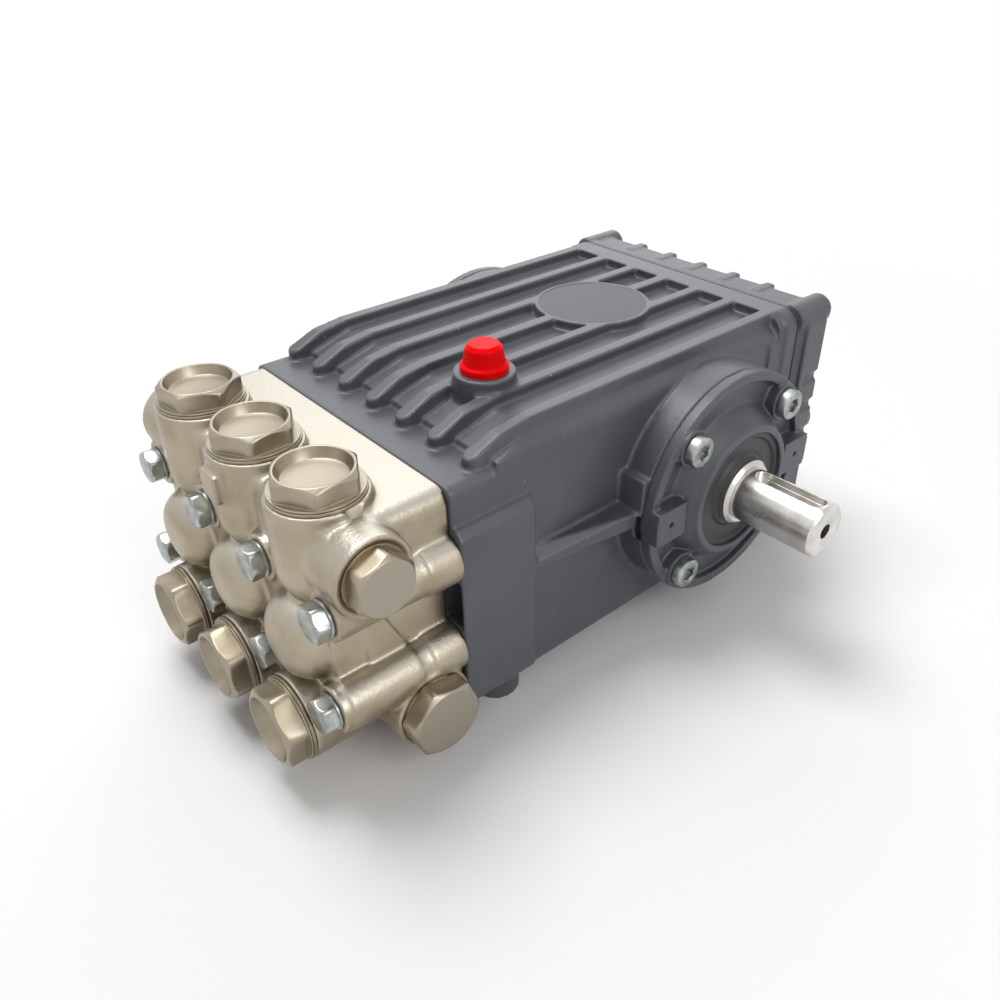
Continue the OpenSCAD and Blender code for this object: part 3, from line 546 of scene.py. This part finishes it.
def shaved(points):
    """Pull the skin in to round forms at the block's upper edges and corners.

    A round form is a point on its axis, the number of that axis and its radius. Each point
    of a region that lies outside all of the region's forms goes to the nearest one.
    """
    x, y, z = np.abs(points[:, 0]), points[:, 1], points[:, 2]
    long_edge = (x > round_x) & (z > round_z) & (y > valve_y)
    front_edge = (x > valve_pad_clear) & (x < corner_x) & (z > round_z) & (y < round_y)
    corner = (x >= corner_x) & (z > bolt_upper_z + bolt_boss_r) & (y <= valve_y)
    for region, rounds in (
        (long_edge, [*side_rounds, delivery_round]),
        (front_edge, [front_round, *valve_rounds]),
        (corner, [delivery_round, *valve_rounds]),
    ):
        part = points[region]
        gaps, moves = [], []
        for middle, axis, radius in rounds:
            reach = part - np.array(middle)
            reach[:, axis] = 0
            length = np.linalg.norm(reach, axis=1)
            gaps.append(length - radius)
            moves.append(reach * (1 - radius / length)[:, None])
        nearest = np.argmin(gaps, axis=0)
        rows = np.arange(len(part))
        gap, move = np.array(gaps)[nearest, rows], np.array(moves)[nearest, rows]
        points[region] = part - np.where((gap > 0)[:, None], move, 0)
    return points


manifold = cast_skin(
    "manifold", manifold_voxel, manifold_soften, manifold_fill, manifold_triangles, cuts, domes, shaved
)
dress(manifold, nickel, "pump_body")
for tool in cuts + kept + domes:
    bpy.data.objects.remove(tool)

# Valve caps, their washers and the gallery plugs, turned from hexagon brass bar and plated.
# They are screwed in against flat rings. The delivery caps have a flat recess on top, the
# suction caps a cone in front, and wear has rounded their corners a little.
turned_dark = (0.28, 0.235, 0.17, 1)
turned_light = (0.39, 0.34, 0.26, 1)
turned_painted_top_light = (0.37, 0.33, 0.265, 1)
turned_cloud = 12 * mm
turned_grain = 0.6 * mm
turned_depth = 0.03 * mm
turned_edge = 0.6 * mm
turned_sides = 120
ring_names = ("delivery_washer", "delivery_plug_ring", "suction_washer", "suction_plug_ring")
washer_top = 122.6 * mm
suction_washer_front = -153.6 * mm
cap_flats = 29 * mm
cap_foot_r = 17 * mm
cap_foot = 0.8 * mm
cap_worn = 0.3 * mm
chamfer_h = 1.6 * mm
chamfer_steps = 6
corner_share = 0.563
face_share = 0.485
delivery_cap_h = 8 * mm
delivery_turns = (38, 61, 60)
delivery_hollow = {"mouth": 13.2 * mm, "floor": 11.8 * mm, "depth": 4.2 * mm}
suction_cap_h = 9.4 * mm
suction_turns = (36, 67, 47)
suction_hollow = {"mouth": 13.3 * mm, "floor": 9.5 * mm, "depth": 8 * mm}
plug_h = 8.2 * mm
plug_shank = 12 * mm
plug_sizes = {
    "delivery_plug": {
        "place": (75.5 * mm, valve_y, delivery_z), "flats": 21.8 * mm, "shank": 9.1 * mm, "turn": 52,
    },
    "suction_plug": {
        "place": (77 * mm, gallery_y, suction_z), "flats": 28.2 * mm, "shank": 11.9 * mm, "turn": 19,
    },
}


def hexagon_head(flats, height, foot):
    """Outline of a hexagon head above a round foot: full corners, then a chamfer up to a round face."""
    corner = corner_share * flats
    face = face_share * flats
    rings = [(corner, foot), (corner, height - chamfer_h)]
    for step in range(1, chamfer_steps + 1):
        share = step / chamfer_steps
        rings.append((corner + (face - corner) * share, height - chamfer_h * (1 - share)))
    return rings


def cap_profile(height, hollow):
    """Outline of a cap: a round foot, the hexagon head and the hollow, with small worn edges."""
    mouth, floor_r, bottom = hollow["mouth"], hollow["floor"], height - hollow["depth"]
    foot = [(cap_foot_r - 0.2 * mm, 0), (cap_foot_r, 0.15 * mm), (cap_foot_r, cap_foot)]
    mouth_edge = [
        (mouth + 0.35 * mm, height), (mouth + 0.05 * mm, height - 0.1 * mm),
        (mouth - 0.05 * mm, height - 0.4 * mm),
    ]
    floor_edge = [
        (floor_r + 0.15 * mm, bottom + 0.6 * mm), (floor_r - 0.15 * mm, bottom + 0.15 * mm),
        (floor_r - 0.7 * mm, bottom),
    ]
    return foot + hexagon_head(cap_flats, height, cap_foot) + mouth_edge + floor_edge


def coat(name, finish):
    """Give a CAD node its material."""
    nodes[name].data.materials.clear()
    nodes[name].data.materials.append(finish.owner)


turned = finish_of("plated turned brass")
cloud = turned.noise(turned_cloud, 4)
side_colour = turned.mix(cloud.between(*patchy), turned_dark, turned_light)
turned.paint(
    # Faces turned toward the piece's own +Z, the top of a ring and the outward end of a cap or plug, get a
    # paler colour: painted top light.
    Base_Color=turned.mix(turned.facing_up(*painted_light_normal_span), side_colour, turned_painted_top_light),
    Metallic=1,
    Roughness=0.3 + 0.14 * cloud,
    Normal=turned.bump(turned.noise(turned_grain, 2), turned_depth, turned_edge),
)
for name in nodes:
    if name.startswith(ring_names):
        coat(name, turned)
for number, middle_x in enumerate(plunger_places, start=1):
    delivery_place = (middle_x, valve_y, washer_top)
    suction_place = (middle_x, suction_washer_front, suction_z)
    for kind, place, outward, height, hollow, turns in (
        ("delivery", delivery_place, (0, 0, 1), delivery_cap_h, delivery_hollow, delivery_turns),
        ("suction", suction_place, (0, -1, 0), suction_cap_h, suction_hollow, suction_turns),
    ):
        name = f"{kind}_cap_turned_{number}"
        profile = cap_profile(height, hollow)
        mesh = lathe(name, profile, cap_flats, cap_worn, round_rings=3, sides=turned_sides)
        cap = stand(name, mesh, place, outward, math.radians(turns[number - 1]))
        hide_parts(f"{kind}_cap_{number}")
        dress(cap, turned, "pump_body")
for node, sizes in plug_sizes.items():
    shank = [(sizes["shank"], -plug_shank), (sizes["shank"], 0)]
    profile = shank + hexagon_head(sizes["flats"], plug_h, 0)
    name = node + "_turned"
    mesh = lathe(name, profile, sizes["flats"], cap_worn, round_rings=2, sides=turned_sides)
    plug = stand(name, mesh, sizes["place"], (1, 0, 0), math.radians(sizes["turn"]))
    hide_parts(node)
    dress(plug, turned, "pump_body")

# Manifold bolts, eight zinc-plated M8 hexagon heads on spring washers, screwed through the
# manifold into the crankcase. The upper four and the lower four sit on seats of different height.
bolt_rows = ((bolt_upper_z, seat_upper_y), (bolt_lower_z, seat_lower_y))
bolt_turns = ((5, 48, 25, 40), (15, 33, 8, 20))
head_flats = 13 * mm
head_corner = head_flats / math.sqrt(3)
head_height = 5.3 * mm
head_profile = (
    (head_corner - 0.3 * mm, 0), (head_corner, 0.3 * mm), (head_corner, head_height - 0.9 * mm),
    (head_corner - 0.45 * mm, head_height - 0.5 * mm), (head_corner - 0.9 * mm, head_height - 0.15 * mm),
    (head_corner - 1.3 * mm, head_height),
)
washer_height = 1.2 * mm
washer_profile = (
    (7 * mm, 0), (7.3 * mm, 0.2 * mm), (7.3 * mm, washer_height - 0.2 * mm), (7 * mm, washer_height),
)

for row, (bolt_z, seat_y) in enumerate(bolt_rows):
    for column in range(4):
        number = row * 4 + column + 1
        place = Vector(((column - 1.5) * plunger_pitch, seat_y, bolt_z))
        turn = math.radians(bolt_turns[row][column])
        washer_name = f"manifold_bolt_washer_{number}"
        washer = stand(washer_name, lathe(washer_name, washer_profile), place, (0, -1, 0))
        dress(washer, zinc, "pump_body")
        bolt_name = f"manifold_bolt_{number}"
        head_place = place - Vector((0, washer_height, 0))
        head = lathe(bolt_name, head_profile, flats=head_flats)
        bolt = stand(bolt_name, head, head_place, (0, -1, 0), turn)
        dress(bolt, zinc, "pump_body")

# Drive shaft, one piece with the crankshaft, ground and polished steel with the fine rings of
# the grinding wheel. It turns in the bearing cover and drives by the key in its milled keyway.
steel_dark = (0.55, 0.53, 0.5, 1)
steel_light = (0.72, 0.7, 0.67, 1)
haze_size = 9 * mm
ring_size = 0.4 * mm
ring_stretch = (1, 0.02, 0.02)
ring_depth = 0.01 * mm
steel_edge = 0.4 * mm

steel = finish_of("ground steel")
rings = steel.noise(ring_size, 2, ring_stretch)
haze = steel.noise(haze_size, 3)
steel.paint(
    Base_Color=steel.mix(haze.between(*patchy), steel_dark, steel_light),
    Metallic=1,
    Roughness=0.2 + 0.12 * haze,
    Normal=steel.bump(rings, ring_depth, steel_edge),
)
coat("crankshaft", steel)

# Rear gasket, a thin sheet held between the crankcase and the rear cover.
# Its edge was painted over together with the two castings.
coat("rear_gasket", case_paint)

# Shaft seal, black rubber with a dull moulded skin.
# It is pressed into the bearing cover round the shaft.
rubber_dark = (0.017, 0.017, 0.02, 1)
rubber_light = (0.042, 0.042, 0.047, 1)
bloom_size = 6 * mm
rubber_grain = 0.7 * mm
rubber_depth = 0.02 * mm
rubber_edge = 0.4 * mm

rubber = finish_of("black rubber")
bloom = rubber.noise(bloom_size, 3)
rubber.paint(
    Base_Color=rubber.mix(bloom, rubber_dark, rubber_light),
    Roughness=0.35 + 0.2 * bloom,
    Normal=rubber.bump(rubber.noise(rubber_grain, 2), rubber_depth, rubber_edge),
)
coat("shaft_seal", rubber)

# Oil filler plug, moulded in bright red plastic.
# It is pushed into its boss on top of the crankcase by hand.
red_dark = (0.96, 0.001, 0.003, 1)
red_light = (1, 0.002, 0.005, 1)
red_gloss = 0.06
flow_size = 4 * mm
red_grain = 0.9 * mm
red_depth = 0.02 * mm
red_edge = 0.7 * mm

red = finish_of("red plastic")
flow = red.noise(flow_size, 2)
red.paint(
    Base_Color=red.mix(flow, red_dark, red_light),
    Specular_IOR_Level=red_gloss,
    Roughness=0.3 + 0.1 * flow,
    Normal=red.bump(red.noise(red_grain, 2), red_depth, red_edge),
)
coat("oil_filler_plug", red)

# Round plate on top of the crankcase, a thin dark brushed metal disc.
# It is stuck into its shallow recess and left bare.
plate_dark = (0.045, 0.048, 0.06, 1)
plate_light = (0.065, 0.07, 0.084, 1)
plate_metal = 0.2
brush_size = 0.8 * mm
brush_stretch = (0.05, 1, 1)
brush_depth = 0.01 * mm

plate = finish_of("plate")
brushed = plate.noise(brush_size, 2, brush_stretch)
plate.paint(
    Base_Color=plate.mix(brushed, plate_dark, plate_light),
    Metallic=plate_metal,
    Roughness=0.42 + 0.12 * brushed,
    Normal=plate.bump(brushed, brush_depth),
)
coat("badge_plate", plate)

# Oil level window in the rear cover, glossy amber plastic.
# It is pressed into a round boss.
amber_dark = (0.5, 0.33, 0.08, 1)
amber_light = (0.62, 0.45, 0.14, 1)
swirl_size = 8 * mm

amber = finish_of("amber window")
swirl = amber.noise(swirl_size, 2)
amber.paint(Base_Color=amber.mix(swirl, amber_dark, amber_light), Roughness=0.08 + 0.05 * swirl)
coat("oil_sight_glass", amber)

# Oil drain plug, a hexagon plug in zinc-plated steel like the screws.
# It is screwed into the rear cover, low down.
coat("drain_plug", zinc)

# Floor, a matt white sheet that holds the pump's shadow.
# It lies just where the feet stand, and it fades into the white surround.
floor_half = 3
floor_colour = (0.95, 0.95, 0.95, 1)
fade_from = 0.22
fade_to = 0.6

floor_white = finish_of("white floor")
floor_white.paint(Base_Color=floor_colour, Roughness=0.9, Specular_IOR_Level=0.1)
spot = floor_white.node("TexCoord", output=3)
reach = floor_white.node("VectorMath", {"operation": "LENGTH"}, {0: spot}, output=1)
clear = floor_white.node("BsdfTransparent")
sheet = Wire(floor_white, floor_white.tree.nodes["Principled BSDF"].outputs[0])
faded = floor_white.node("MixShader", None, {0: reach.between(fade_from, fade_to), 1: sheet, 2: clear})
floor_white.feed(floor_white.tree.nodes["Material Output"].inputs["Surface"], faded)
floor_form = bmesh.new()
bmesh.ops.create_grid(floor_form, x_segments=1, y_segments=1, size=floor_half)
floor_mesh = bpy.data.meshes.new("floor")
floor_form.to_mesh(floor_mesh)
floor_form.free()
floor = bpy.data.objects.new("floor", floor_mesh)
floor_mesh.materials.append(floor_white.owner)
bpy.context.scene.collection.objects.link(floor)

# Studio, a white surround that lights the pump softly.
# It shows full white where it is seen directly, mirrored or through something clear.
surround_light = 0.35

world = bpy.data.worlds.new("studio")
bpy.context.scene.world = world
studio = Finish(world)
path = studio.node("LightPath").socket.node
seen = Wire(studio, path.outputs["Is Camera Ray"])
mirrored = Wire(studio, path.outputs["Is Glossy Ray"])
through = Wire(studio, path.outputs["Is Transmission Ray"])
backdrop = studio.tree.nodes["Background"]
studio.feed(backdrop.inputs["Color"], (1, 1, 1, 1))
studio.feed(
    backdrop.inputs["Strength"], surround_light + (1 - surround_light) * (seen + mirrored + through)
)

# Lamps, soft round boxes. A small one high up puts the bright edges on round forms, a wide
# one behind shines on the level faces, and a weaker one lights the drive side.
lamps = (
    ("high lamp", (-0.3, -0.12, 1.1), 0.6, 7.5),
    ("back lamp", (-0.85, 0.75, 0.8), 1.2, 4.8),
    ("side lamp", (1.1, 0, 0.8), 0.7, 4.5),
)
lamp_target = Vector((0, 0, 0.06))

for name, place, size, power in lamps:
    lamp_data = bpy.data.lights.new(name, "AREA")
    lamp_data.shape = "DISK"
    lamp_data.size = size
    lamp_data.energy = power
    lamp = bpy.data.objects.new(name, lamp_data)
    lamp.location = place
    lamp.rotation_mode = "QUATERNION"
    lamp.rotation_quaternion = (lamp_target - Vector(place)).to_track_quat("-Z", "Y")
    bpy.context.scene.collection.objects.link(lamp)
